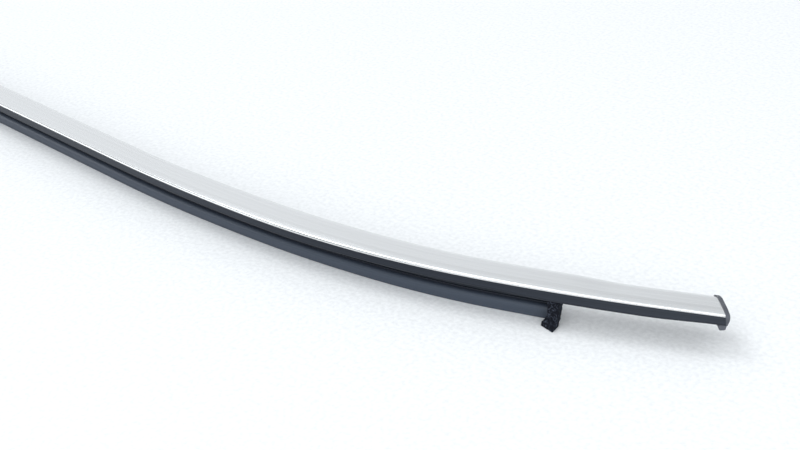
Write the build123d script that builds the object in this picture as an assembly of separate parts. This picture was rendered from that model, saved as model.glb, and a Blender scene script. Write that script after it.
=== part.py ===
"""Window moulding of a vehicle door: a long bent trim with a bright face.

Everything is in millimetres, +Z up, with the bright face up. The section is
drawn on a plane across the path: x runs inboard from the near edge of the
bright face, y runs up from the lower line of that edge. Stations are measured
along the near edge, from the plain cut end to the capped end. The section
twists a little about that edge in the tight bend and again before the cap.
"""
from build123d import *
import math
import os

# Path of the near edge, seen from above
TOTAL_LENGTH = 1100.0
EASE_IN_LENGTH = 125.0
EASE_IN_RADIUS = 1450.0
BEND_LENGTH = 150.0
BEND_RADIUS = 610.0
EASE_OUT_LENGTH = 95.0
EASE_OUT_RADIUS = 1060.0
END_RUN_LENGTH = 25.7

# Twist of the section about the near edge, in degrees, far side up
BEND_TWIST = 3.6
BEND_TWIST_PLACE = 0.25
END_TWIST = -3.4
END_TWIST_LENGTH = 27.0
LOFT_STEPS = 5

# Bright strip: a thin roll-formed sheet with a hem round its far edge
FACE_WIDTH = 20.0
SHEET = 0.6
NEAR_SHOULDER = 1.25
NEAR_SHOULDER_RADIUS = 1.2
NEAR_CREST = 1.85
NEAR_CREST_INSET = 4.5
NEAR_CREST_RADIUS = 15.0
FAR_CREST = 1.3
FAR_CREST_INSET = 4.2
FAR_CREST_RADIUS = 13.0
FAR_SHOULDER = -0.6
FAR_SHOULDER_RADIUS = 1.8
HEM_RETURN = 3.4
HEM_CORNER_RADIUS = 1.0

# Carrier head: a black extrusion inside the strip
FIT_CLEARANCE = 0.05
SIDE_WALL_HEIGHT = 3.8
SIDE_WALL_FLARE = 1.8
SIDE_WALL_ROUND = 0.7
SIDE_WALL_THICKNESS = 2.6
DEEP_WALL_HEIGHT = 4.7
DEEP_WALL_LENGTH = 42.0
END_WALL_HEIGHT = 3.9
FAR_WALL_THICKNESS = 1.8
POCKET_ROOF = 1.5

# Carrier channel: a stem and two legs that grip the door flange
STEM_FACE = 8.0
NEAR_LEG_FACE = 7.3
NEAR_LEG_TOP = 11.4
NEAR_LEG_THICKNESS = 2.7
NEAR_LEG_END = 18.9
SLOT_WIDTH = 3.2
SLOT_ROOF = 7.0
SLOT_MOUTH_CHAMFER = 0.8
FAR_LEG_THICKNESS = 2.2
FLOOR_DEPTH = 19.6
BARB_COUNT = 2
BARB_HEIGHT = 0.9
BARB_BASE = 1.5
BARB_PITCH = 3.6
BARB_INSET = 1.8
CHANNEL_CUT_BACK = 87.7

# Seal lip: a rubber extrusion keyed into the near leg
LIP_FACE = 4.3
LIP_TOP = 12.3
LIP_LEAN = 0.2
LIP_TOP_RADIUS = 2.5
LIP_TOE_RADIUS = 0.6
LIP_HEEL = 1.5
KEY_DROP = 3.2
KEY_NECK_WIDTH = 1.2
KEY_NECK_DEPTH = 0.8
KEY_HEAD_WIDTH = 2.4
KEY_HEAD_DEPTH = 0.8

# Sponge block past the channel and the lip: its corners by distance onward and inboard
BLOCK_TOP = [(2.0, -1.3), (8.6, -1.8), (9.2, 2.9), (3.2, 11.0)]
BLOCK_WAIST = [(1.5, -1.9), (7.0, -3.2), (8.0, 0.3), (2.4, 11.0)]
BLOCK_FOOT = [(-1.4, -2.3), (5.6, -6.2), (7.0, -0.6), (1.6, 11.0)]
BLOCK_FOOT_HEIGHT = 4.1
BLOCK_LIP_GAP = 0.4
BLOCK_MARGIN = 0.4
BLOCK_GAP = 0.1

# End cap on the oblique cut
CUT_ANGLE = 21.0
CAP_PLATE = 2.1
CAP_RIM = 0.6
CAP_EDGE_ROUND = 0.5
CAP_NEAR_TUCK = 0.6
CAP_HOOK_REACH = 0.7
CAP_HOOK_WIDTH = 1.8
CAP_SLOPE_TOP = 1.0
CAP_TAB_BOTTOM = 7.4
CAP_TAB_NEAR = 0.6
CAP_TAB_WIDTH = 13.0
CAP_TAB_RETURN = 3.6
CAP_TAB_TAPER = 1.2
CAP_TAB_TOE = 0.4
CAP_TAB_RADIUS = 0.8
CAP_TONGUE_LENGTH = 12.0
CAP_TONGUE_CLEARANCE = 0.3
CAP_SEAT_GAP = 0.02

# Values that follow from the sizes
LEAD_LENGTH = TOTAL_LENGTH - EASE_IN_LENGTH - BEND_LENGTH - EASE_OUT_LENGTH - END_RUN_LENGTH
OVERRUN = 2 * FACE_WIDTH
HEM_DEPTH = SIDE_WALL_HEIGHT + SHEET
STEM_NEAR = NEAR_LEG_FACE + NEAR_LEG_THICKNESS
SLOT_FAR = STEM_NEAR + SLOT_WIDTH
FAR_LEG_BACK = SLOT_FAR + FAR_LEG_THICKNESS
CHANNEL_END = TOTAL_LENGTH - CHANNEL_CUT_BACK
BLOCK_LENGTH = max(onward for onward, inboard in BLOCK_TOP)
BEND_START = LEAD_LENGTH + EASE_IN_LENGTH
END_TWIST_START = CHANNEL_END + BLOCK_GAP + BLOCK_LENGTH
TWISTS = [
    (LEAD_LENGTH, 0.0),
    (BEND_START + BEND_LENGTH * BEND_TWIST_PLACE, BEND_TWIST),
    (BEND_START + BEND_LENGTH, 0.0),
    (END_TWIST_START, 0.0),
    (END_TWIST_START + END_TWIST_LENGTH, END_TWIST),
]
WALL_HEIGHTS = [
    (BEND_START + BEND_LENGTH, SIDE_WALL_HEIGHT),
    (END_TWIST_START, DEEP_WALL_HEIGHT),
    (END_TWIST_START + DEEP_WALL_LENGTH, DEEP_WALL_HEIGHT),
    (TOTAL_LENGTH, END_WALL_HEIGHT),
]
BENDS = [
    (LEAD_LENGTH, None),
    (EASE_IN_LENGTH, EASE_IN_RADIUS),
    (BEND_LENGTH, BEND_RADIUS),
    (EASE_OUT_LENGTH, EASE_OUT_RADIUS),
    (END_RUN_LENGTH + OVERRUN, None),
]


def advance(x, y, heading, length, radius):
    """Give the point and heading reached after a length of straight or arc."""
    if radius is None:
        return x + length * math.cos(heading), y + length * math.sin(heading), heading
    turned = heading + length / radius
    x += radius * (math.sin(turned) - math.sin(heading))
    y += radius * (math.cos(heading) - math.cos(turned))
    return x, y, turned


def path_spans():
    """List each span of the path: start and stop station, start point, heading and radius."""
    spans = []
    station, x, y, heading = 0.0, 0.0, 0.0, 0.0
    for length, radius in BENDS:
        spans.append((station, station + length, x, y, heading, radius))
        x, y, heading = advance(x, y, heading, length, radius)
        station += length
    return spans


SPANS = path_spans()


def across(station, angle=0.0):
    """Give the section plane at a station, turned about the vertical by an angle in degrees."""
    start, stop, x, y, heading, radius = next(span for span in SPANS if station <= span[1])
    x, y, heading = advance(x, y, heading, station - start, radius)
    heading += math.radians(angle)
    inboard = (-math.sin(heading), math.cos(heading), 0)
    onward = (math.cos(heading), math.sin(heading), 0)
    return Plane(origin=(x, y, 0), x_dir=inboard, z_dir=onward)


def eased(places, station):
    """Give a value at a station, eased between the stations where it is known."""
    before = places[0]
    for after in places[1:]:
        if station < after[0]:
            share = max(0.0, (station - before[0]) / (after[0] - before[0]))
            return before[1] + (after[1] - before[1]) * share * share * (3 - 2 * share)
        before = after
    return before[1]


def changes(places, first, last):
    """Tell whether a value changes over a stretch."""
    return abs(eased(places, first) - eased(places, last)) > 0.001


def standing(section, station):
    """Stand a section up at a station, with the twist and the wall height that it has there."""
    face = section(eased(WALL_HEIGHTS, station)) if callable(section) else section
    return across(station) * Rot(0, 0, eased(TWISTS, station)) * face


def carry(section, first, last):
    """Carry a section over a stretch with one radius, lofted where its twist or wall changes."""
    if changes(TWISTS, first, last) or callable(section) and changes(WALL_HEIGHTS, first, last):
        stations = [first + (last - first) * step / LOFT_STEPS for step in range(LOFT_STEPS + 1)]
        return loft([standing(section, station) for station in stations])
    middle = (first + last) / 2
    _, _, x, y, heading, radius = next(span for span in SPANS if middle <= span[1])
    face = standing(section, first)
    if radius is None:
        return extrude(face, amount=last - first, dir=across(first).z_dir)
    centre = (x - radius * math.sin(heading), y + radius * math.cos(heading), 0)
    return revolve(face, axis=Axis(centre, (0, 0, 1)), revolution_arc=math.degrees((last - first) / radius))


def run(section, start, stop):
    """Carry a section along the path from one station to another, as one solid."""
    marks = {start, stop, *(span[0] for span in SPANS), *(station for station, _ in TWISTS)}
    if callable(section):
        marks.update(station for station, _ in WALL_HEIGHTS)
    marks = sorted(mark for mark in marks if start <= mark <= stop)
    body = None
    for first, last in zip(marks, marks[1:]):
        if last - first > 0.001:
            piece = carry(section, first, last)
            body = piece if body is None else body + piece
    return body


def rectangle(left, right, low, high):
    """Draw a rectangle of the section by its edges."""
    return Pos((left + right) / 2, (low + high) / 2) * Rectangle(right - left, high - low)


def shape(*points):
    """Draw a closed outline of straight edges through the points."""
    return Polygon(*points, align=None)


def rounded(face, radius, *point):
    """Round the corner of a face that lies nearest to a point."""
    return fillet(face.vertices().sort_by_distance(point)[0], radius)


def oblique(start, stop):
    """Give the slice between two distances past the oblique cut."""
    size = 10 * FACE_WIDTH
    middle = Pos(0, 0, (start + stop) / 2)
    return across(TOTAL_LENGTH, CUT_ANGLE) * middle * Box(size, size, stop - start)


def strip_outline():
    """Draw the outside of the bright strip, closed along the bottom of its hem."""
    crest = FilletPolyline(
        (0, -HEM_DEPTH),
        (0, NEAR_SHOULDER),
        (NEAR_CREST_INSET, NEAR_CREST),
        (FACE_WIDTH - FAR_CREST_INSET, FAR_CREST),
        (FACE_WIDTH, FAR_SHOULDER),
        (FACE_WIDTH, -HEM_DEPTH),
        (FACE_WIDTH / 2, -HEM_DEPTH),
        radius=[
            NEAR_SHOULDER_RADIUS,
            NEAR_CREST_RADIUS,
            FAR_CREST_RADIUS,
            FAR_SHOULDER_RADIUS,
            HEM_CORNER_RADIUS,
        ],
    )
    return make_face(crest + Line((FACE_WIDTH / 2, -HEM_DEPTH), (0, -HEM_DEPTH)))


OUTLINE = strip_outline()


def strip_section():
    """Draw the sheet: its near edge ends on the side wall, its far edge is hemmed."""
    inside = offset(OUTLINE, amount=-SHEET)
    mouth = rectangle(-1, FACE_WIDTH - HEM_RETURN, -2 * HEM_DEPTH, 0)
    return OUTLINE - inside - mouth


def near_pocket(clearance=0.0):
    """Draw the hollow behind the side wall, or what fits in it with a clearance."""
    toe = SIDE_WALL_THICKNESS - SIDE_WALL_FLARE
    return shape(
        (SIDE_WALL_THICKNESS + clearance, -POCKET_ROOF - clearance),
        (toe + clearance, -SIDE_WALL_HEIGHT + clearance),
        (STEM_FACE - clearance, -SIDE_WALL_HEIGHT + clearance),
        (STEM_FACE - clearance, -POCKET_ROOF - clearance),
    )


def far_pocket(clearance=0.0):
    """Draw the hollow before the far wall, or what fits in it with a clearance."""
    wall = FACE_WIDTH - SHEET - FAR_WALL_THICKNESS
    return rectangle(
        FAR_LEG_BACK + clearance,
        wall - clearance,
        -SIDE_WALL_HEIGHT + clearance,
        -POCKET_ROOF - clearance,
    )


def side_wall(height):
    """Draw the flared side wall down to a height, with a rounded toe."""
    lean = SIDE_WALL_FLARE / (SIDE_WALL_HEIGHT - FIT_CLEARANCE)
    inner_lean = SIDE_WALL_FLARE / (SIDE_WALL_HEIGHT - POCKET_ROOF)
    toe = (-lean * (height - FIT_CLEARANCE), -height)
    wall = shape(
        (0, -FIT_CLEARANCE),
        toe,
        (SIDE_WALL_THICKNESS - inner_lean * (height - POCKET_ROOF), -height),
        (SIDE_WALL_THICKNESS, -POCKET_ROOF),
        (SIDE_WALL_THICKNESS, -FIT_CLEARANCE),
    )
    return rounded(wall, SIDE_WALL_ROUND, *toe)


def head_section(wall_height=SIDE_WALL_HEIGHT):
    """Draw the carrier's head: it fills the strip and has a side wall and two hollows."""
    inside = offset(OUTLINE, amount=-(SHEET + FIT_CLEARANCE))
    head = inside & rectangle(0, FACE_WIDTH, -SIDE_WALL_HEIGHT, FACE_WIDTH)
    return head - near_pocket() - far_pocket() + side_wall(wall_height)


def grip_section(wall_height):
    """Draw the whole carrier: the head and the channel."""
    return head_section(wall_height) + channel_section()


def cut_back_section(wall_height):
    """Draw the carrier past the channel's end: the head and the stub of the stem."""
    return head_section(wall_height) + rectangle(STEM_FACE, FAR_LEG_BACK, -SIDE_WALL_HEIGHT, -POCKET_ROOF)


def key_section(clearance=0.0):
    """Draw the foot that keys the lip into the near leg, or its groove with a clearance."""
    middle = -LIP_TOP - KEY_DROP
    neck_end = NEAR_LEG_FACE + KEY_NECK_DEPTH
    neck = rectangle(
        NEAR_LEG_FACE - KEY_NECK_DEPTH,
        neck_end + KEY_HEAD_DEPTH / 2,
        middle - KEY_NECK_WIDTH / 2 - clearance,
        middle + KEY_NECK_WIDTH / 2 + clearance,
    )
    head = rectangle(
        neck_end - clearance,
        neck_end + KEY_HEAD_DEPTH + clearance,
        middle - KEY_HEAD_WIDTH / 2 - clearance,
        middle + KEY_HEAD_WIDTH / 2 + clearance,
    )
    return neck + head


def barb(wall, tip, low):
    """Draw one barb that stands on a slot wall and points up into the slot."""
    into = math.copysign(BARB_HEIGHT, tip - wall)
    root = wall - into / 9
    corners = [(root, low), (wall + into, low + BARB_BASE * 0.7), (root, low + BARB_BASE)]
    return shape(*(corners if into > 0 else reversed(corners)))


def channel_section():
    """Draw the stem and the two legs that grip the door flange, with barbs in the slot."""
    stem = rectangle(STEM_FACE, FAR_LEG_BACK, -NEAR_LEG_TOP, -POCKET_ROOF)
    near_leg = rectangle(NEAR_LEG_FACE, STEM_NEAR, -NEAR_LEG_END, -NEAR_LEG_TOP)
    far_leg = rectangle(STEM_NEAR, FAR_LEG_BACK, -FLOOR_DEPTH, -NEAR_LEG_TOP)
    slot = rectangle(STEM_NEAR, SLOT_FAR, -2 * FLOOR_DEPTH, -SLOT_ROOF)
    section = stem + near_leg + far_leg - slot
    near_mouth = section.vertices().sort_by_distance((STEM_NEAR, -NEAR_LEG_END))[0]
    section = chamfer(near_mouth, SLOT_MOUTH_CHAMFER)
    far_mouth = section.vertices().sort_by_distance((SLOT_FAR, -FLOOR_DEPTH))[0]
    section = chamfer(far_mouth, SLOT_MOUTH_CHAMFER)
    for index in range(BARB_COUNT):
        low = -NEAR_LEG_END + BARB_INSET + index * BARB_PITCH
        section += barb(STEM_NEAR, SLOT_FAR, low)
        section += barb(SLOT_FAR, STEM_NEAR, low)
    return section - key_section(FIT_CLEARANCE)


def lip_section():
    """Draw the lip with its keyed foot. Its toe and heel meet the floor."""
    back = NEAR_LEG_FACE - FIT_CLEARANCE
    body = shape(
        (LIP_FACE, -LIP_TOP),
        (LIP_FACE + LIP_LEAN, -FLOOR_DEPTH),
        (back - LIP_HEEL, -FLOOR_DEPTH),
        (back, -FLOOR_DEPTH + LIP_HEEL),
        (back, -LIP_TOP),
    )
    body = rounded(body, LIP_TOP_RADIUS, LIP_FACE, -LIP_TOP)
    body = rounded(body, LIP_TOE_RADIUS, LIP_FACE + LIP_LEAN, -FLOOR_DEPTH)
    return body + key_section()


def cap_plate_section():
    """Draw the cap's plate: the strip's outline with a rim, tucked in at the side wall."""
    low = -HEM_DEPTH - CAP_RIM
    rim = offset(OUTLINE, amount=CAP_RIM)
    tuck = shape(
        (-FACE_WIDTH, 0),
        (-CAP_RIM, 0),
        (CAP_NEAR_TUCK, low),
        (CAP_NEAR_TUCK, 2 * low),
        (-FACE_WIDTH, 2 * low),
    )
    return rim - tuck


def build_strip():
    """Build the bright strip, cut obliquely at the capped end."""
    return run(strip_section(), 0, TOTAL_LENGTH + OVERRUN / 2) - oblique(0, OVERRUN)


def build_carrier():
    """Build the carrier: its head runs to the cap, its channel is cut back."""
    grip = run(grip_section, 0, CHANNEL_END)
    return grip + run(cut_back_section, CHANNEL_END, TOTAL_LENGTH + OVERRUN / 2) - oblique(0, OVERRUN)


def build_lip():
    """Build the lip as far as the sponge block."""
    return run(lip_section(), 0, CHANNEL_END)


def build_block():
    """Build the sponge block: it tapers down to a foot that reaches out under the side wall."""
    plane = across(CHANNEL_END + BLOCK_GAP)
    near = (0, LIP_FACE - BLOCK_LIP_GAP)
    back = (0, FAR_LEG_BACK + BLOCK_MARGIN)
    levels = [
        (-FLOOR_DEPTH, BLOCK_FOOT),
        (-FLOOR_DEPTH + BLOCK_FOOT_HEIGHT, BLOCK_WAIST),
        (-DEEP_WALL_HEIGHT - BLOCK_GAP, BLOCK_TOP),
    ]
    faces = []
    for height, corners in levels:
        level = Plane(origin=plane.origin + (0, 0, height), x_dir=plane.z_dir, z_dir=(0, 0, 1))
        faces.append(level * shape(near, *corners, back).face())
    return loft(faces, ruled=True)


def cap_side(inboard):
    """Give the plane square to the cut: x runs past it and y up, at a distance inboard."""
    cut = Plane(across(TOTAL_LENGTH, CUT_ANGLE).location * Rot(0, 0, END_TWIST))
    return Plane(origin=cut.origin + cut.x_dir * inboard, x_dir=cut.z_dir, z_dir=-cut.x_dir)


def cap_slope():
    """Draw what the slope on the cap's outer side takes away."""
    return shape(
        (CAP_PLATE, -CAP_SLOPE_TOP),
        (CAP_TAB_TOE, -CAP_TAB_BOTTOM),
        (CAP_TAB_TOE, -2 * CAP_TAB_BOTTOM),
        (OVERRUN, -2 * CAP_TAB_BOTTOM),
        (OVERRUN, -CAP_SLOPE_TOP),
    )


def cap_tab():
    """Build the tab below the cap's plate: a tapered foot that tucks under the head."""
    top = -HEM_DEPTH - FIT_CLEARANCE
    foot = shape(
        (-CAP_TAB_RETURN, top),
        (-CAP_TAB_RETURN + CAP_TAB_TAPER, -CAP_TAB_BOTTOM),
        (CAP_PLATE, -CAP_TAB_BOTTOM),
        (CAP_PLATE, top),
    )
    foot = rounded(foot - cap_slope(), CAP_TAB_RADIUS, -CAP_TAB_RETURN + CAP_TAB_TAPER, -CAP_TAB_BOTTOM)
    foot = rounded(foot, CAP_TAB_RADIUS, CAP_TAB_TOE, -CAP_TAB_BOTTOM)
    side = cap_side(CAP_TAB_NEAR)
    return extrude(side * foot, amount=CAP_TAB_WIDTH, dir=-side.z_dir)


def cap_plate(start, stop):
    """Build the cap's plate. Its outer edge is rounded in a frame that doesn't move with the path."""
    end = across(TOTAL_LENGTH).location
    plate = end.inverse() * (run(cap_plate_section(), start, stop) & oblique(CAP_SEAT_GAP, CAP_PLATE))
    beyond = Rot(0, CUT_ANGLE, 0) * Pos(0, 0, OVERRUN)
    outer = plate.faces().sort_by_distance(beyond.position)[0]
    return end * fillet(outer.edges(), CAP_EDGE_ROUND)


def build_cap():
    """Build the end cap: plate, hook over the far edge, tab and two tongues in the hollows."""
    start = TOTAL_LENGTH - 3 * CAP_TONGUE_LENGTH
    stop = TOTAL_LENGTH + OVERRUN
    plate = cap_plate(start, stop)
    rim = offset(OUTLINE, amount=CAP_RIM) - offset(OUTLINE, amount=FIT_CLEARANCE)
    hook_section = rim & rectangle(FACE_WIDTH - CAP_HOOK_WIDTH, 2 * FACE_WIDTH, -HEM_DEPTH, FACE_WIDTH)
    hook = run(hook_section, start, stop) & oblique(-CAP_HOOK_REACH, CAP_PLATE / 2)
    tongues = near_pocket(CAP_TONGUE_CLEARANCE) + far_pocket(CAP_TONGUE_CLEARANCE)
    plug = run(tongues, start, stop) & oblique(-CAP_TONGUE_LENGTH, CAP_PLATE / 2)
    side = cap_side(-OVERRUN)
    slope = extrude(side * cap_slope(), amount=2 * OVERRUN, dir=-side.z_dir)
    return plate + hook + plug - slope + cap_tab()


NODES = {
    "bright_strip": build_strip(),
    "carrier": build_carrier(),
    "seal_lip": build_lip(),
    "sponge_end_block": build_block(),
    "end_cap": build_cap(),
}

# Straight run along X, box centred on the origin, lowest face at z = 0
boxes = [solid.bounding_box() for solid in NODES.values()]
middle_x = (min(box.min.X for box in boxes) + max(box.max.X for box in boxes)) / 2
middle_y = (min(box.min.Y for box in boxes) + max(box.max.Y for box in boxes)) / 2
lowest = min(box.min.Z for box in boxes)

os.makedirs("parts", exist_ok=True)
for name, solid in NODES.items():
    export_step(Pos(-middle_x, -middle_y, -lowest) * solid, f"parts/{name}.step")
print("shift", -middle_x, -middle_y, -lowest)
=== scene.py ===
"""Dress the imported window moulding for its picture.

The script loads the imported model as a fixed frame, builds a finer visual
piece for each solid along the same path, gives each its material, and sets
the floor, the lights and the camera. Lengths are in metres, apart from those
of the drawn sections, which are in millimetres. In a section, the first number
runs inboard from the near edge of the bright face, the second rises from that
edge's lower line, and the third is the corner's radius.
"""
from __future__ import annotations

import logging
import math
from collections.abc import Callable
from dataclasses import dataclass, field
from enum import Enum

import bmesh
import bpy
from mathutils import Matrix, Vector, noise


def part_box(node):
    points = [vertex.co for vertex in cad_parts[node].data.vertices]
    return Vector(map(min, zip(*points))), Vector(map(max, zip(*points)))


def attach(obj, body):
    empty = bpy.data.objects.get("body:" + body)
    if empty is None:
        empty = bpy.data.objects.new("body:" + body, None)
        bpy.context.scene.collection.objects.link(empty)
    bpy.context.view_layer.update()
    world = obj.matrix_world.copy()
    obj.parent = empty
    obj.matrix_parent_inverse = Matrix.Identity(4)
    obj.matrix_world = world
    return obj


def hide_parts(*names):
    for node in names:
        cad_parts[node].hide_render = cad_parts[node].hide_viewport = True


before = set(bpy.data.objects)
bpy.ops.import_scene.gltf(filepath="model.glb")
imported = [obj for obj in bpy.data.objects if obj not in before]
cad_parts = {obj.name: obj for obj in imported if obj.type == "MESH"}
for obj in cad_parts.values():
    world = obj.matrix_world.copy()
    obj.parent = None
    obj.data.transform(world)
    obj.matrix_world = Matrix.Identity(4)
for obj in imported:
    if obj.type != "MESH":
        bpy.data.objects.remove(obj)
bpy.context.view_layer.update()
MM = 0.001
log = logging.getLogger("moulding")

Point2 = tuple[float, float]
Corner = tuple[float, float, float]
Colour = tuple[float, float, float]
Ramp = tuple[Point2, ...]
Sockets = dict[str | int, object]


class Node(str, Enum):
    """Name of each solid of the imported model."""

    STRIP = "bright_strip"
    CARRIER = "carrier"
    LIP = "seal_lip"
    BLOCK = "sponge_end_block"
    CAP = "end_cap"


class Slot(str, Enum):
    """Name of each material slot of the record."""

    METAL = "bright_metal"
    BLACK = "black_carrier"
    RUBBER = "lip_rubber"
    SPONGE = "sponge"
    PLASTIC = "cap_plastic"


# Height of the hem's lower side
HEM_LOW = -4.4
# Outside of the bright face from its near lower line to the end of its hem
FACE: list[Corner] = [
    (0.0, HEM_LOW, 0.0),
    (0.0, 1.25, 1.2),
    (4.5, 1.85, 15.0),
    (15.8, 1.3, 13.0),
    (20.0, -0.6, 1.8),
    (20.0, HEM_LOW, 1.0),
    (16.6, HEM_LOW, 0.0),
]
# Thickness of the sheet and its gap to the head
SHEET = 0.6
SHEET_GAP = 0.05
# Depth of the floor below the near edge
FLOOR_DEPTH = 19.6
# Station where the channel and the lip end
CHANNEL_END = 1.0123
# Farther inboard than any section reaches
CLEAR_INBOARD = 0.024
# Place of the camera from the start of the path
CAMERA_OFFSET = (1.3509, -0.3656, 0.3526)


def eased(places: Ramp, station: float) -> float:
    """Find a value along the path, eased between the stations where it is given.

    Args:
        places: Stations and values.
        station: Distance along the near edge.

    Returns:
        The value.
    """
    before = places[0]
    for after in places[1:]:
        if station < after[0]:
            share = max(0.0, (station - before[0]) / (after[0] - before[0]))
            return before[1] + (after[1] - before[1]) * share * share * (3 - 2 * share)
        before = after
    return before[1]


@dataclass(frozen=True)
class Span:
    """One span of the path.

    Args:
        length: Length along the near edge.
        radius: Radius of the near edge, or 0 where it is straight.
    """

    length: float
    radius: float = 0.0


@dataclass(frozen=True)
class EdgePath:
    """Near edge of the bright face, seen from above.

    Args:
        spans: Spans in order, from the plain cut end.
        twists: Stations and the section's twist there, far side up, in degrees.
        origin: Place of the path's start, at the height of the near edge.
        cut_angle: Turn of the oblique end cut from square, in degrees.
    """

    spans: tuple[Span, ...]
    twists: Ramp
    origin: Vector
    cut_angle: float

    @property
    def length(self) -> float:
        """Length of the near edge."""
        return sum(span.length for span in self.spans)

    def place(self, station: float) -> tuple[float, float, float]:
        """Find the path's point and heading.

        Args:
            station: Distance along the near edge.

        Returns:
            X, Y and heading in radians.
        """
        x, y, heading = self.origin.x, self.origin.y, 0.0
        left = station
        for index, span in enumerate(self.spans):
            last = index == len(self.spans) - 1
            step = left if last else min(left, span.length)
            if span.radius:
                bearing = heading + step / span.radius
                x += span.radius * (math.sin(bearing) - math.sin(heading))
                y += span.radius * (math.cos(heading) - math.cos(bearing))
                heading = bearing
            else:
                x += step * math.cos(heading)
                y += step * math.sin(heading)
            left -= step
            if left <= 0.0:
                break
        return x, y, heading

    def twist(self, station: float) -> float:
        """Find the section's twist at a station, in radians, far side up."""
        return math.radians(eased(self.twists, station))

    def point(self, station: float, inboard: float, rise: float) -> Vector:
        """Find a point of the moulding.

        Args:
            station: Distance along the near edge.
            inboard: Distance in from the near edge, before the twist.
            rise: Height above the near edge's lower line, before the twist.

        Returns:
            The point in the part's frame.
        """
        x, y, heading = self.place(station)
        side = Vector((-math.sin(heading), math.cos(heading), 0.0))
        reach, height = turned(inboard, rise, self.twist(station))
        return Vector((x, y, self.origin.z + height)) + side * reach

    def oblique(self, inboard: float, rise: float = 0.0, past: float = 0.0) -> float:
        """Find the station where the oblique cut meets a line of the moulding.

        Args:
            inboard: Distance of the line in from the near edge, before the twist.
            rise: Height of the line, before the twist.
            past: Distance past the cut, square to it.

        Returns:
            The station.
        """
        turn = math.radians(self.cut_angle)
        reach, _ = turned(inboard, rise, self.twist(self.length))
        return self.length - reach * math.tan(turn) + past / math.cos(turn)

    def on_cut(self, along: float, rise: float, past: float) -> Corner:
        """Find a point by its place on the oblique cut.

        Args:
            along: Distance inboard along the cut, with the twist of the end.
            rise: Height on the cut, square to that.
            past: Distance past the cut.

        Returns:
            Station, and inboard distance and rise before the twist.
        """
        turn = math.radians(self.cut_angle)
        twist = self.twist(self.length)
        reach, height = turned(along, rise, twist)
        onward = past * math.cos(turn) - reach * math.sin(turn)
        inboard = past * math.sin(turn) + reach * math.cos(turn)
        return (self.length + onward, *turned(inboard, height, -twist))


def turned(across: float, rise: float, angle: float) -> Point2:
    """Turn a point of a section about the near edge.

    Args:
        across: Distance in from the near edge.
        rise: Height above the near edge's lower line.
        angle: Turn in radians, far side up.

    Returns:
        The turned point.
    """
    cosine, sine = math.cos(angle), math.sin(angle)
    return across * cosine - rise * sine, across * sine + rise * cosine


def offset(corners: list[Corner], outward: float) -> list[Corner]:
    """Move a chain of corners outward, to the left of its direction.

    Args:
        corners: The chain, turning right at its rounded corners.
        outward: Distance in millimetres, negative to go inward.

    Returns:
        The moved chain, with its radii grown or shrunk to match.
    """
    points = [Vector(corner[:2]) for corner in corners]
    sides = []
    for here, after in zip(points, points[1:]):
        step = (after - here).normalized()
        sides.append(Vector((-step.y, step.x)))
    moved = []
    for index, (point, corner) in enumerate(zip(points, corners)):
        before = sides[max(0, index - 1)]
        beyond = sides[min(index, len(sides) - 1)]
        place = point + (before + beyond) * outward / (1.0 + before.dot(beyond))
        radius = max(0.0, corner[2] + outward) if corner[2] else 0.0
        moved.append((place.x, place.y, radius))
    return moved


def rounded(corners: list[Corner], steps: int = 8) -> list[Point2]:
    """Turn a closed list of corners into an outline with rounded corners.

    Args:
        corners: Inboard distance, rise and radius of each corner, in millimetres.
        steps: Chords in each rounding.

    Returns:
        Points of the outline, in metres.
    """
    outline: list[Point2] = []
    count = len(corners)
    for index, (x, y, radius) in enumerate(corners):
        here = Vector((x, y))
        if radius <= 0.0:
            outline.append((x * MM, y * MM))
            continue
        before = (Vector(corners[index - 1][:2]) - here).normalized()
        after = (Vector(corners[(index + 1) % count][:2]) - here).normalized()
        half = before.angle(after) / 2
        reach = radius / math.tan(half)
        start = here + before * reach
        stop = here + after * reach
        centre = here + (before + after).normalized() * radius / math.sin(half)
        for step in range(steps + 1):
            chord = start.lerp(stop, step / steps) - centre
            point = centre + chord.normalized() * radius
            outline.append((point.x * MM, point.y * MM))
    return outline


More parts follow.
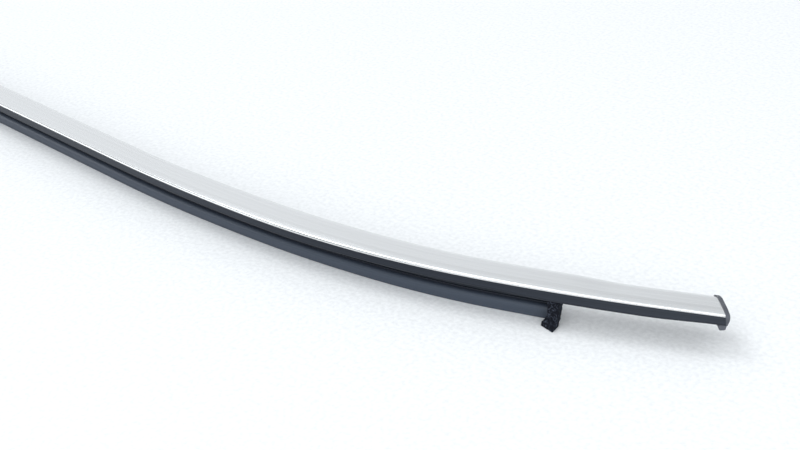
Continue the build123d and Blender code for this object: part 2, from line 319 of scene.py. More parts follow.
@dataclass
class Shell:
    """Mesh of one piece, gathered from rings of points.

    Args:
        path: The path that the rings follow.
    """

    path: EdgePath
    verts: list[Vector] = field(default_factory=list)
    faces: list[tuple[int, ...]] = field(default_factory=list)
    places: list[Point2] = field(default_factory=list)

    def add_rings(self, rings: list[list[Corner]]) -> None:
        """Join rings into a closed tube with flat ends.

        Args:
            rings: Station, inboard distance and rise of each point, in metres.
        """
        base = len(self.verts)
        size = len(rings[0])
        marks = [0.0]
        for column in range(size):
            here, after = rings[0][column], rings[0][(column + 1) % size]
            marks.append(marks[-1] + math.dist(here[1:], after[1:]))
        self.verts += [self.path.point(*corner) for ring in rings for corner in ring]
        for row in range(len(rings) - 1):
            low, high = base + row * size, base + (row + 1) * size
            for column in range(size):
                after = (column + 1) % size
                self.faces.append((low + column, high + column, high + after, low + after))
                first, second = rings[row][column][0], rings[row + 1][column][0]
                self.places += [(first, marks[column]), (second, marks[column])]
                self.places += [(second, marks[column + 1]), (first, marks[column + 1])]
        last = base + (len(rings) - 1) * size
        self.faces.append(tuple(base + index for index in range(size)))
        self.places += [corner[1:] for corner in rings[0]]
        self.faces.append(tuple(last + size - 1 - index for index in range(size)))
        self.places += [corner[1:] for corner in reversed(rings[-1])]

    def add_sweep(
        self,
        outline: Callable[[float], list[Point2]],
        start: float,
        stop: float | None,
        pitch: float = 0.004,
    ) -> None:
        """Carry an outline along the path.

        Args:
            outline: Function that draws the section at a station.
            start: First station.
            stop: Last station, or None to end at the oblique cut.
            pitch: Distance between rings.
        """
        reach = self.path.oblique(CLEAR_INBOARD) if stop is None else stop
        count = max(1, round((reach - start) / pitch))
        stations = [start + (reach - start) * index / count for index in range(count + 1)]
        rings = [[(station, v, z) for v, z in outline(station)] for station in stations]
        if stop is None:
            rings.append([(self.path.oblique(v, z), v, z) for v, z in outline(self.path.length)])
        self.add_rings(rings)

    def add_slab(self, layers: list[tuple[float, list[Point2]]]) -> None:
        """Stack outlines that lie along the oblique cut, each with its distance past the cut."""
        oblique = self.path.oblique
        self.add_rings([[(oblique(v, z, past), v, z) for v, z in outline] for past, outline in layers])

    def shave(self, place: Vector, outward: Vector) -> None:
        """Cut away what lies beyond a plane and close the cut.

        Args:
            place: Point of the plane.
            outward: Direction of the side to cut away.
        """
        mesh = bmesh.new()
        verts = [mesh.verts.new(vert) for vert in self.verts]
        for face in self.faces:
            mesh.faces.new([verts[index] for index in face])
        whole = [*mesh.verts, *mesh.edges, *mesh.faces]
        plane = {"plane_co": place, "plane_no": outward}
        cut = bmesh.ops.bisect_plane(mesh, geom=whole, clear_outer=True, **plane)
        edges = [item for item in cut["geom_cut"] if isinstance(item, bmesh.types.BMEdge)]
        bmesh.ops.holes_fill(mesh, edges=edges)
        mesh.verts.index_update()
        self.verts = [vert.co.copy() for vert in mesh.verts]
        self.faces = [tuple(vert.index for vert in face.verts) for face in mesh.faces]
        self.places = [(0.0, 0.0)] * sum(len(face) for face in self.faces)
        mesh.free()

    def make(self, name: str, sharp: float = 30.0) -> bpy.types.Object:
        """Make the object.

        Args:
            name: Name of the object.
            sharp: Angle in degrees above which an edge stays sharp.

        Returns:
            The object, linked to the scene.
        """
        mesh = bpy.data.meshes.new(name)
        mesh.from_pydata([tuple(vert) for vert in self.verts], [], self.faces)
        layer = mesh.uv_layers.new(name="along")
        layer.data.foreach_set("uv", [value for place in self.places for value in place])
        mesh.validate()
        mesh.shade_smooth()
        mesh.set_sharp_from_angle(angle=math.radians(sharp))
        piece = bpy.data.objects.new(name, mesh)
        bpy.context.scene.collection.objects.link(piece)
        return piece


@dataclass(frozen=True)
class Grain:
    """One noise of a finish.

    Args:
        scale: Scale along the path and round the section, or one scale in all directions.
        detail: Octaves.
        depth: Depth of its relief, or 0 for none.
        strength: Strength of its relief.
    """

    scale: Point2 | float
    detail: float
    depth: float = 0.0
    strength: float = 0.0


class Graph:
    """Short hand for a material's node tree."""

    # Values between which a colour or a roughness changes
    low = 0.3
    high = 0.7

    def __init__(self, name: str) -> None:
        """Start an empty material.

        Args:
            name: Name of the material.
        """
        self.material = bpy.data.materials.new(name)
        self.material.use_nodes = True
        self.nodes = self.material.node_tree.nodes
        self.links = self.material.node_tree.links
        self.nodes.clear()
        output = self.nodes.new("ShaderNodeOutputMaterial")
        self.shader = self.nodes.new("ShaderNodeBsdfPrincipled")
        self.links.new(self.shader.outputs[0], output.inputs["Surface"])

    def set(self, **values: object) -> None:
        """Set sockets of the shader by name, with underscores for spaces."""
        for name, value in values.items():
            self.shader.inputs[name.replace("_", " ")].default_value = value

    def add(self, kind: str, inputs: Sockets | None = None, **settings: object) -> bpy.types.Node:
        """Add a node.

        Args:
            kind: Type of the node.
            inputs: Values or sockets for its inputs.
            settings: Properties of the node.

        Returns:
            The node.
        """
        node = self.nodes.new(kind)
        for name, value in settings.items():
            setattr(node, name, value)
        for name, value in (inputs or {}).items():
            if isinstance(value, bpy.types.NodeSocket):
                self.links.new(value, node.inputs[name])
            else:
                node.inputs[name].default_value = value
        return node

    def along(self, lengthwise: float, around: float) -> bpy.types.NodeSocket:
        """Give coordinates that follow the path.

        Args:
            lengthwise: Scale along the path.
            around: Scale round the section.

        Returns:
            A vector socket.
        """
        place = self.add("ShaderNodeUVMap", uv_map="along").outputs[0]
        scale = (lengthwise, around, 1.0)
        return self.add("ShaderNodeMapping", {"Vector": place, "Scale": scale}).outputs[0]

    def space(self) -> bpy.types.NodeSocket:
        """Give the coordinates of the part's frame."""
        return self.add("ShaderNodeTexCoord").outputs["Object"]

    def noise(self, grain: Grain) -> bpy.types.NodeSocket:
        """Add a noise texture.

        Args:
            grain: The noise.

        Returns:
            Its value socket.
        """
        lengthwise = isinstance(grain.scale, tuple)
        vector = self.along(*grain.scale) if lengthwise else self.space()
        scale = 1.0 if lengthwise else grain.scale
        inputs = {"Vector": vector, "Scale": scale, "Detail": grain.detail}
        return self.add("ShaderNodeTexNoise", inputs).outputs[0]

    def shade(self, value: bpy.types.NodeSocket, dark: Colour, light: Colour) -> None:
        """Drive the base colour between two colours.

        Args:
            value: Value socket.
            dark: Colour where the value is low.
            light: Colour where the value is high.
        """
        ramp = self.add("ShaderNodeValToRGB", {0: value})
        ends = ramp.color_ramp.elements
        for end, position, colour in zip(ends, (self.low, self.high), (dark, light)):
            end.position = position
            end.color = (*colour, 1.0)
        self.links.new(ramp.outputs[0], self.shader.inputs["Base Color"])

    def roughen(self, value: bpy.types.NodeSocket, limits: Point2) -> None:
        """Drive the roughness.

        Args:
            value: Value socket.
            limits: Roughness where the value is low and where it is high.
        """
        inputs = {"Value": value, "From Min": self.low, "From Max": self.high}
        inputs.update({"To Min": limits[0], "To Max": limits[1]})
        roughness = self.add("ShaderNodeMapRange", inputs).outputs[0]
        self.links.new(roughness, self.shader.inputs["Roughness"])

    def bump(self, *layers: tuple[bpy.types.NodeSocket, Grain]) -> None:
        """Add relief.

        Args:
            layers: Height socket and noise of each layer that has a depth.
        """
        normal = None
        for height, grain in layers:
            if not grain.depth:
                continue
            inputs = {"Height": height, "Distance": grain.depth, "Strength": grain.strength}
            if normal is not None:
                inputs["Normal"] = normal
            normal = self.add("ShaderNodeBump", inputs).outputs[0]
        self.links.new(normal, self.shader.inputs["Normal"])


@dataclass(frozen=True)
class Finish:
    """Look of one material, made from a coarse and a fine noise.

    Args:
        light: Base colour where the coarse noise is high.
        dark: Base colour where it is low.
        coarse: Noise of the colour.
        fine: Noise of the roughness, or None where the roughness is even.
        roughness: Roughness where the fine noise is low and where it is high.
        metallic: How metallic it is.
        specular: Level of its reflections.
        specular_tint: Tint of its reflections.
    """

    light: Colour
    dark: Colour
    coarse: Grain
    fine: Grain | None
    roughness: Point2
    metallic: float = 0.0
    specular: float = 0.5
    specular_tint: Colour = (1.0, 1.0, 1.0)

    def make(self, name: str) -> bpy.types.Material:
        """Make the material.

        Args:
            name: Name of the material.

        Returns:
            The material.
        """
        graph = Graph(name)
        graph.set(Metallic=self.metallic, Roughness=self.roughness[0])
        graph.set(Specular_IOR_Level=self.specular, Specular_Tint=(*self.specular_tint, 1.0))
        coarse = graph.noise(self.coarse)
        layers = [(coarse, self.coarse)]
        graph.shade(coarse, self.dark, self.light)
        if self.fine:
            fine = graph.noise(self.fine)
            graph.roughen(fine, self.roughness)
            layers.append((fine, self.fine))
        graph.bump(*layers)
        return graph.material


@dataclass(frozen=True)
class BrightMetal(Finish):
    """Satin bright sheet with soft lengthwise bands, painted reflection streaks in its colour over a
    faint relief, and fine polishing lines.
    """

    light: Colour = (0.83, 0.83, 0.83)
    dark: Colour = (0.77, 0.77, 0.77)
    # The coarse noise paints soft lengthwise reflection streaks between the light and the dark colour
    coarse: Grain = Grain((1.2, 300.0), 3.0, 0.00002, 0.4)
    fine: Grain = Grain((9.0, 3800.0), 2.0, 0.000001, 0.4)
    roughness: Point2 = (0.23, 0.28)
    metallic: float = 1.0


@dataclass(frozen=True)
class BlackExtrusion(Finish):
    """Black extruded plastic with faint die lines."""

    light: Colour = (0.013, 0.015, 0.023)
    dark: Colour = (0.006, 0.007, 0.012)
    coarse: Grain = Grain((3.0, 1500.0), 3.0, 0.00002, 0.4)
    fine: Grain = Grain((2500.0, 2500.0), 2.0, 0.00001, 0.5)
    roughness: Point2 = (0.40, 0.54)
    specular: float = 0.4
    specular_tint: Colour = (0.84, 0.93, 1.0)


@dataclass(frozen=True)
class LipRubber(Finish):
    """Smooth dark grey rubber with a slight bloom."""

    light: Colour = (0.054, 0.068, 0.094)
    dark: Colour = (0.032, 0.042, 0.060)
    coarse: Grain = Grain((2.0, 900.0), 3.0, 0.00002, 0.4)
    fine: Grain = Grain((1800.0, 1800.0), 2.0, 0.00001, 0.4)
    roughness: Point2 = (0.40, 0.52)
    specular: float = 0.4


@dataclass(frozen=True)
class CapPlastic(Finish):
    """Moulded dark grey plastic with a fine grain."""

    light: Colour = (0.090, 0.095, 0.113)
    dark: Colour = (0.064, 0.068, 0.083)
    coarse: Grain = Grain(220.0, 3.0)
    fine: Grain = Grain(3500.0, 2.0, 0.00003, 0.5)
    roughness: Point2 = (0.46, 0.60)


@dataclass(frozen=True)
class FloorPaper(Finish):
    """Pale paper with a faint speckle."""

    light: Colour = (0.92, 0.92, 0.92)
    dark: Colour = (0.81, 0.81, 0.81)
    coarse: Grain = Grain(420.0, 3.0, 0.0005, 0.4)
    fine: Grain | None = None
    roughness: Point2 = (0.7, 0.7)


@dataclass(frozen=True)
class SpongeRubber:
    """Rough black sponge, with painted highlights on its ridges.

    Args:
        light: Base colour on a ridge, a painted highlight.
        dark: Base colour between the ridges.
        cells: Round cells of its surface.
        lumps: Lumps between them.
        roughness: Its roughness.
        specular: Level of its reflections.
    """

    light: Colour = (0.048, 0.056, 0.076)
    dark: Colour = (0.003, 0.004, 0.008)
    cells: Grain = Grain(1300.0, 0.0, 0.0003, 0.9)
    lumps: Grain = Grain(700.0, 4.0, 0.0002, 0.6)
    roughness: float = 0.75
    specular: float = 0.15

    def make(self, name: str) -> bpy.types.Material:
        """Make the material.

        Args:
            name: Name of the material.

        Returns:
            The material.
        """
        graph = Graph(name)
        inputs = {"Vector": graph.space(), "Scale": self.cells.scale}
        cells = graph.add("ShaderNodeTexVoronoi", inputs).outputs["Distance"]
        lumps = graph.noise(self.lumps)
        # The ridge values kept in the UV map paint highlights onto the ridges
        ridge_highlights = graph.add("ShaderNodeSeparateXYZ", {0: graph.along(1.0, 1.0)}).outputs["X"]
        graph.shade(ridge_highlights, self.dark, self.light)
        graph.set(Roughness=self.roughness, Specular_IOR_Level=self.specular)
        graph.bump((cells, self.cells), (lumps, self.lumps))
        return graph.material


@dataclass
class Piece:
    """One piece of the moulding, with its sizes in millimetres and its stations in metres.

    Args:
        path: The near edge.
    """

    path: EdgePath


@dataclass
class BrightStrip(Piece):
    """The thin sheet over the head, hemmed round its far edge.

    Args:
        edge: Rounding of the sheet's raw edges.
        pitch: Distance between its rings, in metres.
    """

    edge: float = 0.12
    pitch: float = 0.002

    def build(self) -> bpy.types.Object:
        """Build the sheet.

        Returns:
            The object.
        """
        outside = [(0.0, 0.0, 0.0), *FACE[1:]]
        inside = offset(outside, -SHEET)
        corners = [*outside, *reversed(inside)]
        for end in (0, len(outside) - 1, len(outside), len(corners) - 1):
            corners[end] = (*corners[end][:2], self.edge)
        outline = rounded(corners)
        shell = Shell(self.path)
        shell.add_sweep(lambda station: outline, 0.0, None, self.pitch)
        return shell.make("bright_strip_sheet")

    def dress(self) -> bpy.types.Material:
        """Make the sheet's finish."""
        return BrightMetal().make(Slot.METAL.value)


@dataclass
class Carrier(Piece):
    """The black extrusion: a head under the sheet and a barbed channel below it.

    Args:
        wall_heights: Stations and the side wall's height there.
        flare: How far the side wall leans out over its height, as a share.
        inner_flare: The same for the wall's inner side.
        head_low: Height of the head's lower side.
        hollow_near: Near side of the near hollow.
        hollow_top: Height of the hollows' upper side.
        stem: Near and far side of the stem.
        leg: Near side of the near leg.
        slot: Near and far wall of the slot.
        slot_top: Height of the slot's upper end.
        barbs: Lower level of each pair of barbs.
        barb_reach: How far a barb stands out.
        groove: Places of the groove's mouth and of its far side.
    """

    wall_heights: Ramp = ((0.9793, 3.8), (1.0216, 4.7), (1.0636, 4.7), (1.1, 3.9))
    flare: float = 0.48
    inner_flare: float = 0.783
    head_low: float = -3.8
    hollow_near: float = 2.6
    hollow_top: float = -1.5
    stem: Point2 = (8.0, 15.4)
    leg: float = 7.3
    slot: Point2 = (10.0, 13.2)
    slot_top: float = -7.0
    barbs: tuple[float, ...] = (-17.1, -13.5)
    barb_reach: float = 0.9
    groove: Point2 = (8.05, 8.95)

    def head(self, station: float) -> list[Point2]:
        """Draw the head with its flared side wall and its two hollows.

        Args:
            station: Distance along the near edge.

        Returns:
            Points of the outline, in metres.
        """
        inside = offset(FACE, -SHEET - SHEET_GAP)
        height = eased(self.wall_heights, station)
        toe = -self.flare * (height - SHEET_GAP)
        inner_toe = self.hollow_near - self.inner_flare * (height + self.hollow_top)
        near, far = self.stem
        corners = [
            (0.65, -SHEET_GAP, 0.0),
            *inside[1:6],
            (17.6, -3.75, 0.15),
            (17.6, self.hollow_top, 0.15),
            (far, self.hollow_top, 0.0),
            (far, self.head_low, 0.0),
            (near, self.head_low, 0.15),
            (near, self.hollow_top, 0.15),
            (self.hollow_near, self.hollow_top, 0.15),
            (inner_toe, -height, 0.15),
            (toe, -height, 0.7),
            (0.0, -SHEET_GAP, 0.12),
        ]
        return rounded(corners)

    def barb(self, wall: float, reach: float, low: float) -> list[Corner]:
        """Draw one barb, from its lower root to its upper root.

        Args:
            wall: Inboard distance of the slot wall that it stands on.
            reach: How far it stands out, negative towards the near edge.
            low: Its lower level.

        Returns:
            The corners.
        """
        return [(wall, low + 0.1, 0.0), (wall + reach, low + 1.05, 0.1), (wall, low + 1.46, 0.0)]

    def channel(self) -> list[Corner]:
        """Draw the stem, the two legs and the groove for the lip's foot.

        Returns:
            The corners.
        """
        near, far = self.stem
        near_wall, far_wall = self.slot
        mouth, deep = self.groove
        corners = [(near, -1.3, 0.0), (far, -1.3, 0.0), (far, -FLOOR_DEPTH, 0.25)]
        corners += [(14.0, -FLOOR_DEPTH, 0.0), (far_wall, -18.8, 0.2)]
        for low in self.barbs:
            corners += self.barb(far_wall, -self.barb_reach, low)
        corners += [(far_wall, self.slot_top, 0.3), (near_wall, self.slot_top, 0.3)]
        for low in reversed(self.barbs):
            corners += reversed(self.barb(near_wall, self.barb_reach, low))
        corners += [
            (near_wall, -18.1, 0.2),
            (9.2, -18.9, 0.0),
            (self.leg, -18.9, 0.3),
            (self.leg, -16.15, 0.0),
            (mouth, -16.15, 0.0),
            (mouth, -16.75, 0.0),
            (deep, -16.75, 0.0),
            (deep, -14.25, 0.0),
            (mouth, -14.25, 0.0),
            (mouth, -14.85, 0.0),
            (self.leg, -14.85, 0.0),
            (self.leg, -11.4, 0.25),
            (near, -11.4, 0.2),
        ]
        return corners

    def build(self) -> bpy.types.Object:
        """Build the head to the oblique cut and the channel to its cut end.

        Returns:
            The object.
        """
        channel = rounded(self.channel(), steps=4)
        shell = Shell(self.path)
        shell.add_sweep(self.head, 0.0, None)
        shell.add_sweep(lambda station: channel, 0.0, CHANNEL_END)
        return shell.make("carrier_extrusion")

    def dress(self) -> bpy.types.Material:
        """Make the extrusion's finish."""
        return BlackExtrusion().make(Slot.BLACK.value)


@dataclass
class SealLip(Piece):
    """The rubber lip with its foot in the near leg.

    Args:
        back: Side of the lip that lies on the leg.
        foot: Near and far side of the foot's wide part.
    """

    back: float = 7.25
    foot: Point2 = (8.1, 8.9)

    def section(self) -> list[Corner]:
        """Draw the lip and its foot.

        Returns:
            The corners.
        """
        near, far = self.foot
        return [
            (4.5, -FLOOR_DEPTH, 0.6),
            (4.3, -12.3, 2.5),
            (self.back, -12.3, 0.0),
            (self.back, -14.9, 0.0),
            (near, -14.9, 0.0),
            (near, -14.3, 0.1),
            (far, -14.3, 0.1),
            (far, -16.7, 0.1),
            (near, -16.7, 0.1),
            (near, -16.1, 0.0),
            (self.back, -16.1, 0.0),
            (self.back, -18.1, 0.2),
            (5.75, -FLOOR_DEPTH, 0.2),
        ]

    def build(self) -> bpy.types.Object:
        """Build the lip as far as the sponge block.

        Returns:
            The object.
        """
        outline = rounded(self.section())
        shell = Shell(self.path)
        shell.add_sweep(lambda station: outline, 0.0, CHANNEL_END)
        return shell.make("seal_lip_rubber")

    def dress(self) -> bpy.types.Material:
        """Make the lip's finish."""
        return LipRubber().make(Slot.RUBBER.value)


@dataclass
class SpongeBlock(Piece):
    """The rough sponge block that closes the channel and the lip.

    Args:
        rows: Rings between its foot and its top.
        steps: Points along each side of a ring.
        gap: Its gap to the channel's end.
        seed: Seed of the noise that bends its ridges.
        bend_scale: Scale of the noise that bends its ridges.
        bend: How far that noise bends them.
        ridge_scale: Scale of the ridges.
        sharpness: Sharpness of the ridges.
        pit: Depth between the ridges.
        cell_scale: Scale of its cells.
        cell: Depth of its cells.
        tuck: How far its upper and lower edges are drawn in.
        tuck_reach: Distance from those edges where that starts.
        levels: Height and corners of its foot, instep, waist and top.
    """

    rows: int = 64
    steps: int = 32
    gap: float = 0.1
    seed: int = 4
    bend_scale: float = 0.4
    bend: float = 1.1
    ridge_scale: float = 0.62
    sharpness: float = 3.6
    pit: float = 0.372
    cell_scale: float = 2.6
    cell: float = 0.108
    tuck: float = 0.3
    tuck_reach: float = 0.6
    levels: tuple[tuple[float, tuple[Point2, ...]], ...] = (
        (-19.6, ((0.0, 3.9), (-1.8, -2.6), (5.8, -6.5), (7.4, -0.6), (1.6, 11.0), (0.0, 15.8))),
        (-16.8, ((0.0, 3.9), (-1.2, -2.4), (5.9, -5.6), (7.5, -0.4), (1.8, 11.0), (0.0, 15.8))),
        (-15.5, ((0.0, 3.9), (1.5, -1.9), (7.0, -3.2), (8.0, 0.3), (2.4, 11.0), (0.0, 15.8))),
        (-4.8, ((0.0, 3.9), (2.0, -1.3), (8.6, -1.8), (9.2, 2.9), (3.2, 11.0), (0.0, 15.8))),
    )

    def outline(self, height: float) -> list[Vector]:
        """Draw one level of the block, onward along the path and inboard from the near edge.

        Args:
            height: Height of the level.

        Returns:
            Points in millimetres.
        """
        above = next(index for index, level in enumerate(self.levels) if index and height <= level[0])
        lower, upper = self.levels[above - 1], self.levels[above]
        share = (height - lower[0]) / (upper[0] - lower[0])
        corners = [Vector(low).lerp(Vector(high), share) for low, high in zip(lower[1], upper[1])]
        points = []
        for index, corner in enumerate(corners):
            after = corners[(index + 1) % len(corners)]
            points += [corner.lerp(after, step / self.steps) for step in range(self.steps)]
        return points

    def ridge(self, place: Vector) -> float:
        """Find how near a place is to the top of a curly ridge, from 0 to 1."""
        bend = noise.noise_vector(place * self.bend_scale) * self.bend
        return max(0.0, 1.0 - self.sharpness * abs(noise.noise(place * self.ridge_scale + bend)))

    def pits(self, place: Vector, ridge: float) -> float:
        """Measure how deep the surface is pitted at a place with that much ridge."""
        cells = noise.noise(place * self.cell_scale)
        return max(0.0, self.pit * (1.0 - ridge * ridge) + self.cell * cells)

    def build(self) -> bpy.types.Object:
        """Build the block, pitted inward from its plain faces.

        Returns:
            The object.
        """
        noise.seed_set(self.seed)
        start = CHANNEL_END + self.gap * MM
        bottom, top = self.levels[0][0], self.levels[-1][0]
        rings = []
        ridge_highlights: list[float] = []
        for row in reversed(range(self.rows + 1)):
            height = bottom + (top - bottom) * row / self.rows
            points = self.outline(height)
            middle = sum(points, Vector((0.0, 0.0))) / len(points)
            edge = min(height - bottom, top - height)
            tuck = self.tuck * max(0.0, 1.0 - edge / self.tuck_reach) ** 2
            ring = []
            for point in points:
                inward = (middle - point).normalized()
                place = Vector((point.x, point.y, height))
                ridge = self.ridge(place)
                # Squared ridge value, kept to paint a highlight on the ridge
                ridge_highlights.append(ridge * ridge)
                moved = point + inward * (tuck + self.pits(place, ridge))
                ring.append((start + moved.x * MM, moved.y * MM, height * MM))
            rings.append(ring)
        shell = Shell(self.path)
        shell.add_rings(rings)
        shell.places = [(ridge_highlights[index], 0.0) for face in shell.faces for index in face]
        return shell.make("sponge_end_block_sponge", sharp=180.0)

    def dress(self) -> bpy.types.Material:
        """Make the block's finish."""
        return SpongeRubber().make(Slot.SPONGE.value)


@dataclass
class EndCap(Piece):
    """The moulded cap on the oblique cut.

    Args:
        plate: Thickness of its plate.
        rim: How far the plate stands out round the strip.
        slope_top: Height where its outer face starts to slope in.
        toe: How far past the cut the slope ends.
        bottom: Height of the tab's lower side.
        gap: Gap between the plate and the cut.
        bevel: Bevel of the plate's inner edge.
        wall_tuck: How far the plate is tucked in below the side wall.
        round_off: Rounding of the plate's outer edge.
        round_steps: Chords in that rounding.
        hook_near: Where the hook ends over the far edge.
        hook_rise: Height of the face there.
        hook_layers: Distance past the cut and shrink of the hook's layers.
        sunk: How far the tongues reach into the plate.
        tongues: Inboard places of each tongue's corners.
        tongue_levels: Height of each of those corners.
        tongue_length: Length of the tongues.
        tongue_round: Rounding of their corners.
        tab_back: How far the tab reaches back at its root and its foot.
        tab_root: Height of the tab's root.
        tab_corner: Rounding of its lower corners.
        tab_ends: Where the tab starts and ends along the cut.
        tab_round: Rounding of the tab's ends.
        tab_steps: Chords in that rounding.
        tab_shrink: Share by which the tab's ends are smaller.
        tab_middle: Point of the tab towards which they shrink.
    """

    plate: float = 2.1
    rim: float = 0.6
    slope_top: float = -1.0
    toe: float = 0.4
    bottom: float = -7.4
    gap: float = 0.02
    bevel: float = 0.12
    wall_tuck: float = 0.6
    round_off: float = 0.75
    round_steps: int = 6
    hook_near: float = 18.4
    hook_rise: float = 0.124
    hook_layers: Ramp = ((-0.7, 0.2), (-0.55, 0.05), (-0.4, 0.0), (1.0, 0.0))
    sunk: float = 1.0
    tongues: tuple[tuple[float, ...], ...] = ((2.9, 7.7, 7.7, 1.35), (15.7, 17.3, 17.3, 15.7))
    tongue_levels: tuple[float, ...] = (-1.8, -1.8, -3.5, -3.5)
    tongue_length: float = 12.0
    tongue_round: float = 0.2
    tab_back: Point2 = (-3.6, -2.4)
    tab_root: float = -4.45
    tab_corner: float = 0.8
    tab_ends: Point2 = (0.6, 13.6)
    tab_round: float = 0.3
    tab_steps: int = 3
    tab_shrink: float = 0.08
    tab_middle: Point2 = (-0.8, -6.0)

    def plate_outline(self, shrink: float) -> list[Point2]:
        """Draw the plate, tucked in at the side wall.

        Args:
            shrink: How far inside its full outline this layer lies.

        Returns:
            Points of the outline, in metres.
        """
        outside = offset(FACE, self.rim - shrink)
        low = outside[-1][1]
        near = [(self.wall_tuck + shrink, low, 0.3), (shrink - self.rim, 0.0, 1.2)]
        return rounded([*near, *outside[1:6]])

    def hook_outline(self, shrink: float) -> list[Point2]:
        """Draw the hook that wraps the strip's far edge.

        Args:
            shrink: How far inside its full outline this layer lies.

        Returns:
            Points of the outline, in metres.
        """
        near = self.hook_near
        chain = [(near, self.hook_rise, 0.0), *FACE[4:6], (near, HEM_LOW, 0.0)]
        outside = offset(chain, self.rim - shrink)
        inside = offset(chain, SHEET_GAP)
        return rounded([*outside, *reversed(inside)])

    def add_plate(self, shell: Shell) -> None:
        """Add the plate with its rounded outer edge.

        Args:
            shell: Mesh to add to.
        """
        shrinks = [(self.gap, self.bevel), (self.gap + self.bevel, 0.0)]
        for step in range(self.round_steps + 1):
            angle = math.pi / 2 * step / self.round_steps
            past = self.plate - self.round_off * (1.0 - math.sin(angle))
            shrinks.append((past, self.round_off * (1.0 - math.cos(angle))))
        shell.add_slab([(past * MM, self.plate_outline(shrink)) for past, shrink in shrinks])
        place = self.path.point(*self.path.on_cut(0.0, self.slope_top * MM, self.plate * MM))
        toe = self.path.point(*self.path.on_cut(0.0, self.bottom * MM, self.toe * MM))
        inboard = self.path.point(*self.path.on_cut(10.0 * MM, self.slope_top * MM, self.plate * MM))
        shell.shave(place, (inboard - place).cross(place - toe).normalized())

    def add_hook(self, shell: Shell) -> None:
        """Add the hook, rounded at its free end, to a mesh."""
        shell.add_slab([(past * MM, self.hook_outline(shrink)) for past, shrink in self.hook_layers])

    def add_tongues(self, shell: Shell) -> None:
        """Add the two tongues that sit in the head's hollows.

        Args:
            shell: Mesh to add to.
        """
        for places in self.tongues:
            corners = [(*corner, self.tongue_round) for corner in zip(places, self.tongue_levels)]
            outline = rounded(corners, steps=3)
            shell.add_slab([(-self.tongue_length * MM, outline), (self.sunk * MM, outline)])

    def add_tab(self, shell: Shell) -> None:
        """Add the tapered tab below the plate.

        Args:
            shell: Mesh to add to.
        """
        drop = self.slope_top - self.bottom
        shoulder = self.plate - (self.plate - self.toe) * (self.slope_top - self.tab_root) / drop
        outline = rounded([
            (self.tab_back[0], self.tab_root, 0.0),
            (self.tab_back[1], self.bottom, self.tab_corner),
            (self.toe, self.bottom, self.tab_corner),
            (shoulder, self.tab_root, 0.0),
        ])
        start, stop = self.tab_ends
        layers = []
        for step in range(self.tab_steps + 1):
            share = step / self.tab_steps
            layers.append((start + self.tab_round * share, self.tab_shrink * (1.0 - share) ** 2))
        layers += [(start + stop - place, shrink) for place, shrink in reversed(layers)]
        middle = Vector(self.tab_middle) * MM
        rings = []
        for place, shrink in layers:
            drawn = [Vector(point).lerp(middle, shrink) for point in outline]
            rings.append([self.path.on_cut(place * MM, point.y, point.x) for point in drawn])
        shell.add_rings(rings)

    def build(self) -> bpy.types.Object:
        """Build the cap.

        Returns:
            The object.
        """
        shell = Shell(self.path)
        self.add_plate(shell)
        self.add_hook(shell)
        self.add_tongues(shell)
        self.add_tab(shell)
        return shell.make("end_cap_moulded")

    def dress(self) -> bpy.types.Material:
        """Make the cap's finish."""
        return CapPlastic().make(Slot.PLASTIC.value)


@dataclass
class Moulding:
    """The moulding's pieces along one path.

    Args:
        path: The near edge.
    """

    path: EdgePath

    def build(self) -> None:
        """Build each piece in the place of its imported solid."""
        parts = (
            (Node.STRIP, Slot.METAL, BrightStrip(self.path)),
            (Node.CARRIER, Slot.BLACK, Carrier(self.path)),
            (Node.LIP, Slot.RUBBER, SealLip(self.path)),
            (Node.BLOCK, Slot.SPONGE, SpongeBlock(self.path)),
            (Node.CAP, Slot.PLASTIC, EndCap(self.path)),
        )
        for node, slot, part in parts:
            piece = part.build()
            finish = part.dress()
            piece.data.materials.append(finish)
            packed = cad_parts[node.value]
            packed.data.materials.clear()
            packed.data.materials.append(finish)
            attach(piece, "root")
            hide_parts(node.value)
            log.info("built %s with %d faces", piece.name, len(piece.data.polygons))


@dataclass(frozen=True)
class Lamp:
    """One soft lamp.

    Args:
        name: Name of the lamp.
        place: Middle of the lamp.
        aim: Point that it faces.
        size: Width and height.
        power: Power in watts.
    """

    name: str
    place: Corner
    aim: Corner
    size: Point2
    power: float

    def build(self, tint: Colour) -> None:
        """Hang the lamp.

        Args:
            tint: Colour of its light.
        """
        data = bpy.data.lights.new(self.name, "AREA")
        data.shape = "RECTANGLE"
        data.size, data.size_y = self.size
        data.energy = self.power
        data.color = tint
        lamp = bpy.data.objects.new(self.name, data)
        lamp.location = self.place
        onward = Vector(self.aim) - Vector(self.place)
        lamp.rotation_euler = onward.to_track_quat("-Z", "Y").to_euler()
        bpy.context.scene.collection.objects.link(lamp)


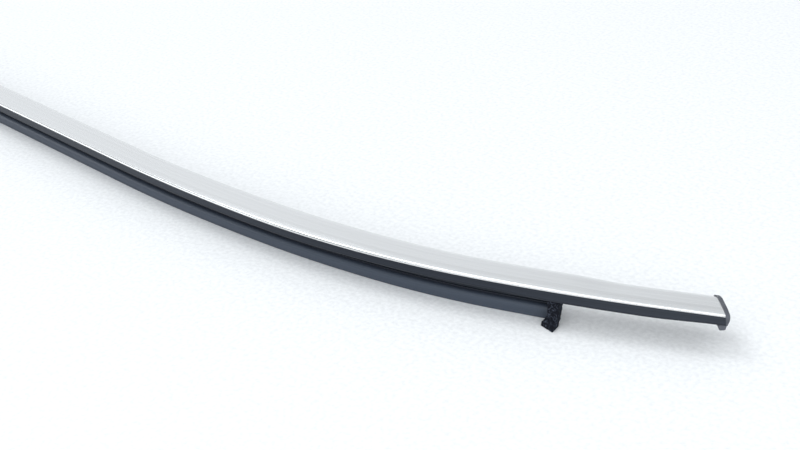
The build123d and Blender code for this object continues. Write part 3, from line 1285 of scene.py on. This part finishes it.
@dataclass(frozen=True)
class Studio:
    """Floor, light and camera.

    Args:
        eye: Place of the camera.
        heading: Heading of the view from +X, in degrees.
        pitch: Downward pitch of the view, in degrees.
        roll: Roll of the camera, in degrees.
        focal: Focal length in picture widths.
        sensor: Width of the camera's sensor, in millimetres.
        near_clip: Nearest distance that the camera shows.
        floor_half: Half of the floor's width.
        window: Heading of the brightest side of the room, in degrees.
        spread: Cosines of the angles from that side where the dark ends and the bright starts.
        bright_side: Height and brightness of the room towards the window.
        dark_side: Height and brightness of the room away from the window.
        tint: Colour of the light.
        lamps: Soft lamps of the studio.
    """

    eye: Vector
    heading: float = 137.03
    pitch: float = 30.0
    roll: float = 5.0
    focal: float = 1.625
    sensor: float = 36.0
    near_clip: float = 0.01
    floor_half: float = 6.0
    window: float = 155.0
    spread: Point2 = (0.4, 0.95)
    bright_side: Ramp = ((0.0, 0.9), (0.36, 1.0), (0.5, 1.0), (0.7, 0.93), (1.0, 0.9))
    dark_side: Ramp = ((0.0, 0.45), (0.3, 0.4), (0.5, 0.33), (0.6, 0.6), (0.7, 0.84), (1.0, 0.9))
    tint: Colour = (0.925, 0.965, 1.0)
    lamps: tuple[Lamp, ...] = (
        Lamp("key", (-1.72, -0.35, 3.46), (0.25, 0.0, 0.0), (2.0, 2.0), 36.0),
        Lamp("front", (1.28, -5.85, 5.35), (0.25, 0.0, 0.0), (6.2, 8.0), 190.0),
        Lamp("low", (-2.95, -2.24, 0.56), (0.25, 0.0, 0.1), (3.2, 1.2), 24.0),
        Lamp("fill", (2.69, -1.41, 1.03), (0.25, 0.0, 0.0), (2.6, 1.6), 42.0),
    )

    def build_camera(self) -> None:
        """Create the camera and make it the scene's."""
        data = bpy.data.cameras.new("photo_camera")
        data.sensor_width = self.sensor
        data.lens = self.sensor * self.focal
        data.clip_start = self.near_clip
        camera = bpy.data.objects.new("photo_camera", data)
        turn = Matrix.Rotation(math.radians(self.heading - 90.0), 4, "Z")
        tip = Matrix.Rotation(math.radians(90.0 - self.pitch), 4, "X")
        roll = Matrix.Rotation(math.radians(-self.roll), 4, "Z")
        camera.matrix_world = Matrix.Translation(self.eye) @ turn @ tip @ roll
        bpy.context.scene.collection.objects.link(camera)
        bpy.context.scene.camera = camera

    def build_floor(self) -> None:
        """Lay a plain pale floor with a faint paper grain."""
        half = self.floor_half
        mesh = bpy.data.meshes.new("floor")
        corners = [(-half, -half, 0.0), (half, -half, 0.0), (half, half, 0.0), (-half, half, 0.0)]
        mesh.from_pydata(corners, [], [(0, 1, 2, 3)])
        mesh.materials.append(FloorPaper().make("floor_paper"))
        floor = bpy.data.objects.new("floor", mesh)
        bpy.context.scene.collection.objects.link(floor)

    def build_room(self) -> None:
        """Light the room: bright overhead and towards the window, dark low down behind the camera."""
        world = bpy.data.worlds.new("room")
        world.use_nodes = True
        nodes = world.node_tree.nodes
        links = world.node_tree.links
        direction = nodes.new("ShaderNodeTexCoord").outputs["Generated"]
        split = nodes.new("ShaderNodeSeparateXYZ")
        links.new(direction, split.inputs[0])
        towards = nodes.new("ShaderNodeVectorMath")
        towards.operation = "DOT_PRODUCT"
        azimuth = math.radians(self.window)
        links.new(direction, towards.inputs[0])
        towards.inputs[1].default_value = (math.cos(azimuth), math.sin(azimuth), 0.0)
        share = nodes.new("ShaderNodeMapRange")
        share.interpolation_type = "SMOOTHSTEP"
        links.new(towards.outputs["Value"], share.inputs["Value"])
        share.inputs["From Min"].default_value = self.spread[0]
        share.inputs["From Max"].default_value = self.spread[1]
        mix = nodes.new("ShaderNodeMix")
        mix.data_type = "RGBA"
        links.new(share.outputs[0], mix.inputs["Factor"])
        colours = [item for item in mix.inputs if item.type == "RGBA"]
        for levels, colour in zip((self.dark_side, self.bright_side), colours):
            ramp = nodes.new("ShaderNodeValToRGB")
            links.new(split.outputs["Z"], ramp.inputs[0])
            elements = ramp.color_ramp.elements
            while len(elements) < len(levels):
                elements.new(0.5)
            for element, (height, level) in zip(elements, levels):
                element.position = height
                element.color = (*(level * part for part in self.tint), 1.0)
            links.new(ramp.outputs[0], colour)
        result = next(item for item in mix.outputs if item.type == "RGBA")
        links.new(result, nodes["Background"].inputs["Color"])
        bpy.context.scene.world = world

    def build_lamps(self) -> None:
        """Hang the lamps and keep the colours plain."""
        for lamp in self.lamps:
            lamp.build(self.tint)
        bpy.context.scene.view_settings.view_transform = "Standard"


def make_path() -> EdgePath:
    """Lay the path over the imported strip.

    Returns:
        The near edge, from the plain cut end.
    """
    low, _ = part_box(Node.STRIP.value)
    return EdgePath(
        spans=(
            Span(704.3 * MM),
            Span(125.0 * MM, 1450.0 * MM),
            Span(150.0 * MM, 610.0 * MM),
            Span(95.0 * MM, 1060.0 * MM),
            Span(25.7 * MM),
        ),
        twists=((0.7043, 0.0), (0.8668, 3.6), (0.9793, 0.0), (1.0216, 0.0), (1.0486, -3.4)),
        origin=Vector((low[0], low[1], FLOOR_DEPTH * MM)),
        cut_angle=21.0,
    )


def main() -> None:
    """Build the moulding and its studio."""
    logging.basicConfig(level=logging.INFO, format="%(message)s")
    path = make_path()
    Moulding(path).build()
    studio = Studio(path.origin + Vector(CAMERA_OFFSET))
    studio.build_camera()
    studio.build_floor()
    studio.build_room()
    studio.build_lamps()


if __name__ == "__main__":
    main()
